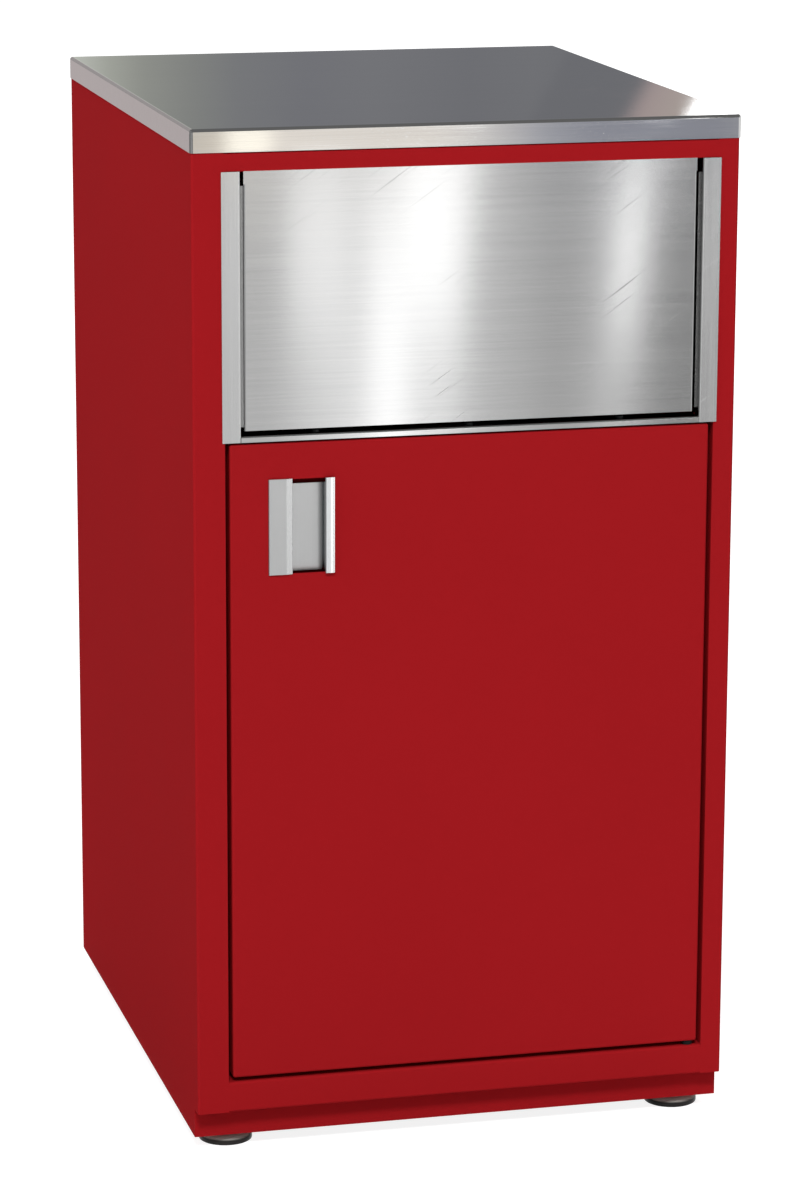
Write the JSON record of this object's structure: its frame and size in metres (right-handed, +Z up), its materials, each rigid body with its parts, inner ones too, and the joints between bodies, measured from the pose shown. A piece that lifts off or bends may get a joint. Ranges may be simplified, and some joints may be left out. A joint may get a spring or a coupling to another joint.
{
  "type": "trash cabinet",
  "caption": "Free-standing red sheet-steel trash cabinet with a stainless worktop, a push-in stainless flap, a hinged door with a recessed pull, an inner bin and levelling feet.",
  "frame": {"origin": "on the floor under the middle of the outer box", "axes": "+Z up, +Y towards the back, +X to the right as seen by someone who faces the door"},
  "size_m": [0.61, 0.733, 1.143],
  "materials": {
    "red_paint": "satin powder coat with a fine orange-peel texture",
    "stainless": "brushed along its length, satin",
    "aluminium": "satin clear anodised",
    "zinc_steel": "bright zinc plate",
    "nylon": "black nylon",
    "black_plastic": "moulded, slightly glossy",
    "rubber": "matt",
    "board": "bare particle board",
    "bin_plastic": "moulded, fine grain",
    "black_steel": "black coated"
  },
  "bodies": {
    "cabinet": {"side_panel_left": "red_paint", "side_panel_right": "red_paint", "back_panel": "red_paint", "floor_panel": "red_paint", "top_rail": "red_paint", "mid_rail": "red_paint", "bottom_rail": "red_paint", "toe_kick": "red_paint", "top_brace": "red_paint", "leveller_plates": "red_paint", "worktop_skin": "stainless", "chute_jamb_left": "stainless", "chute_jamb_right": "stainless", "chute_sill": "stainless", "back_rivets": "aluminium", "worktop_screws": "zinc_steel", "leveller_nuts": "zinc_steel", "flap_rod": "zinc_steel", "rod_bracket_left": "zinc_steel", "rod_bracket_right": "zinc_steel", "hinge_bush_top": "nylon", "hinge_bush_bottom": "nylon", "magnetic_catch": "black_plastic", "door_bumpers": "rubber", "worktop_core": "board", "waste_bin": "bin_plastic", "bin_base": "bin_plastic", "sill_screws": "black_steel"},
    "door": {"door_skin": "red_paint", "door_liner": "red_paint", "door_stiffener": "red_paint", "door_pull": "aluminium", "hinge_block_top": "zinc_steel", "hinge_block_bottom": "zinc_steel", "hinge_pin_top": "zinc_steel", "hinge_pin_bottom": "zinc_steel", "catch_strike": "zinc_steel"},
    "flap": {"flap_panel": "stainless", "flap_backing": "stainless", "flap_bush_left": "nylon", "flap_bush_right": "nylon", "flap_bumpers": "rubber"},
    "foot_front_left": {"foot_pad_front_left": "black_plastic", "foot_stud_front_left": "zinc_steel"},
    "foot_front_right": {"foot_pad_front_right": "black_plastic", "foot_stud_front_right": "zinc_steel"},
    "foot_rear_left": {"foot_pad_rear_left": "black_plastic", "foot_stud_rear_left": "zinc_steel"},
    "foot_rear_right": {"foot_pad_rear_right": "black_plastic", "foot_stud_rear_right": "zinc_steel"}
  },
  "joints": [
    {"name": "door_swing", "type": "hinge", "parent": "cabinet", "child": "door", "pos_m": [0.266, -0.3535, 0.4454], "axis": [0, 0, 1], "range_deg": [0, 110]},
    {"name": "flap_swing", "type": "hinge", "parent": "cabinet", "child": "flap", "pos_m": [0.0055, -0.35114, 1.1045], "axis": [1, 0, 0], "range_deg": [0, 75]},
    {"name": "foot_screw_front_left", "type": "slide", "parent": "cabinet", "child": "foot_front_left", "axis": [0, 0, -1], "range_m": [0, 0.02]},
    {"name": "foot_screw_front_right", "type": "slide", "parent": "cabinet", "child": "foot_front_right", "axis": [0, 0, -1], "range_m": [0, 0.02]},
    {"name": "foot_screw_rear_left", "type": "slide", "parent": "cabinet", "child": "foot_rear_left", "axis": [0, 0, -1], "range_m": [0, 0.02]},
    {"name": "foot_screw_rear_right", "type": "slide", "parent": "cabinet", "child": "foot_rear_right", "axis": [0, 0, -1], "range_m": [0, 0.02]}
  ]
}
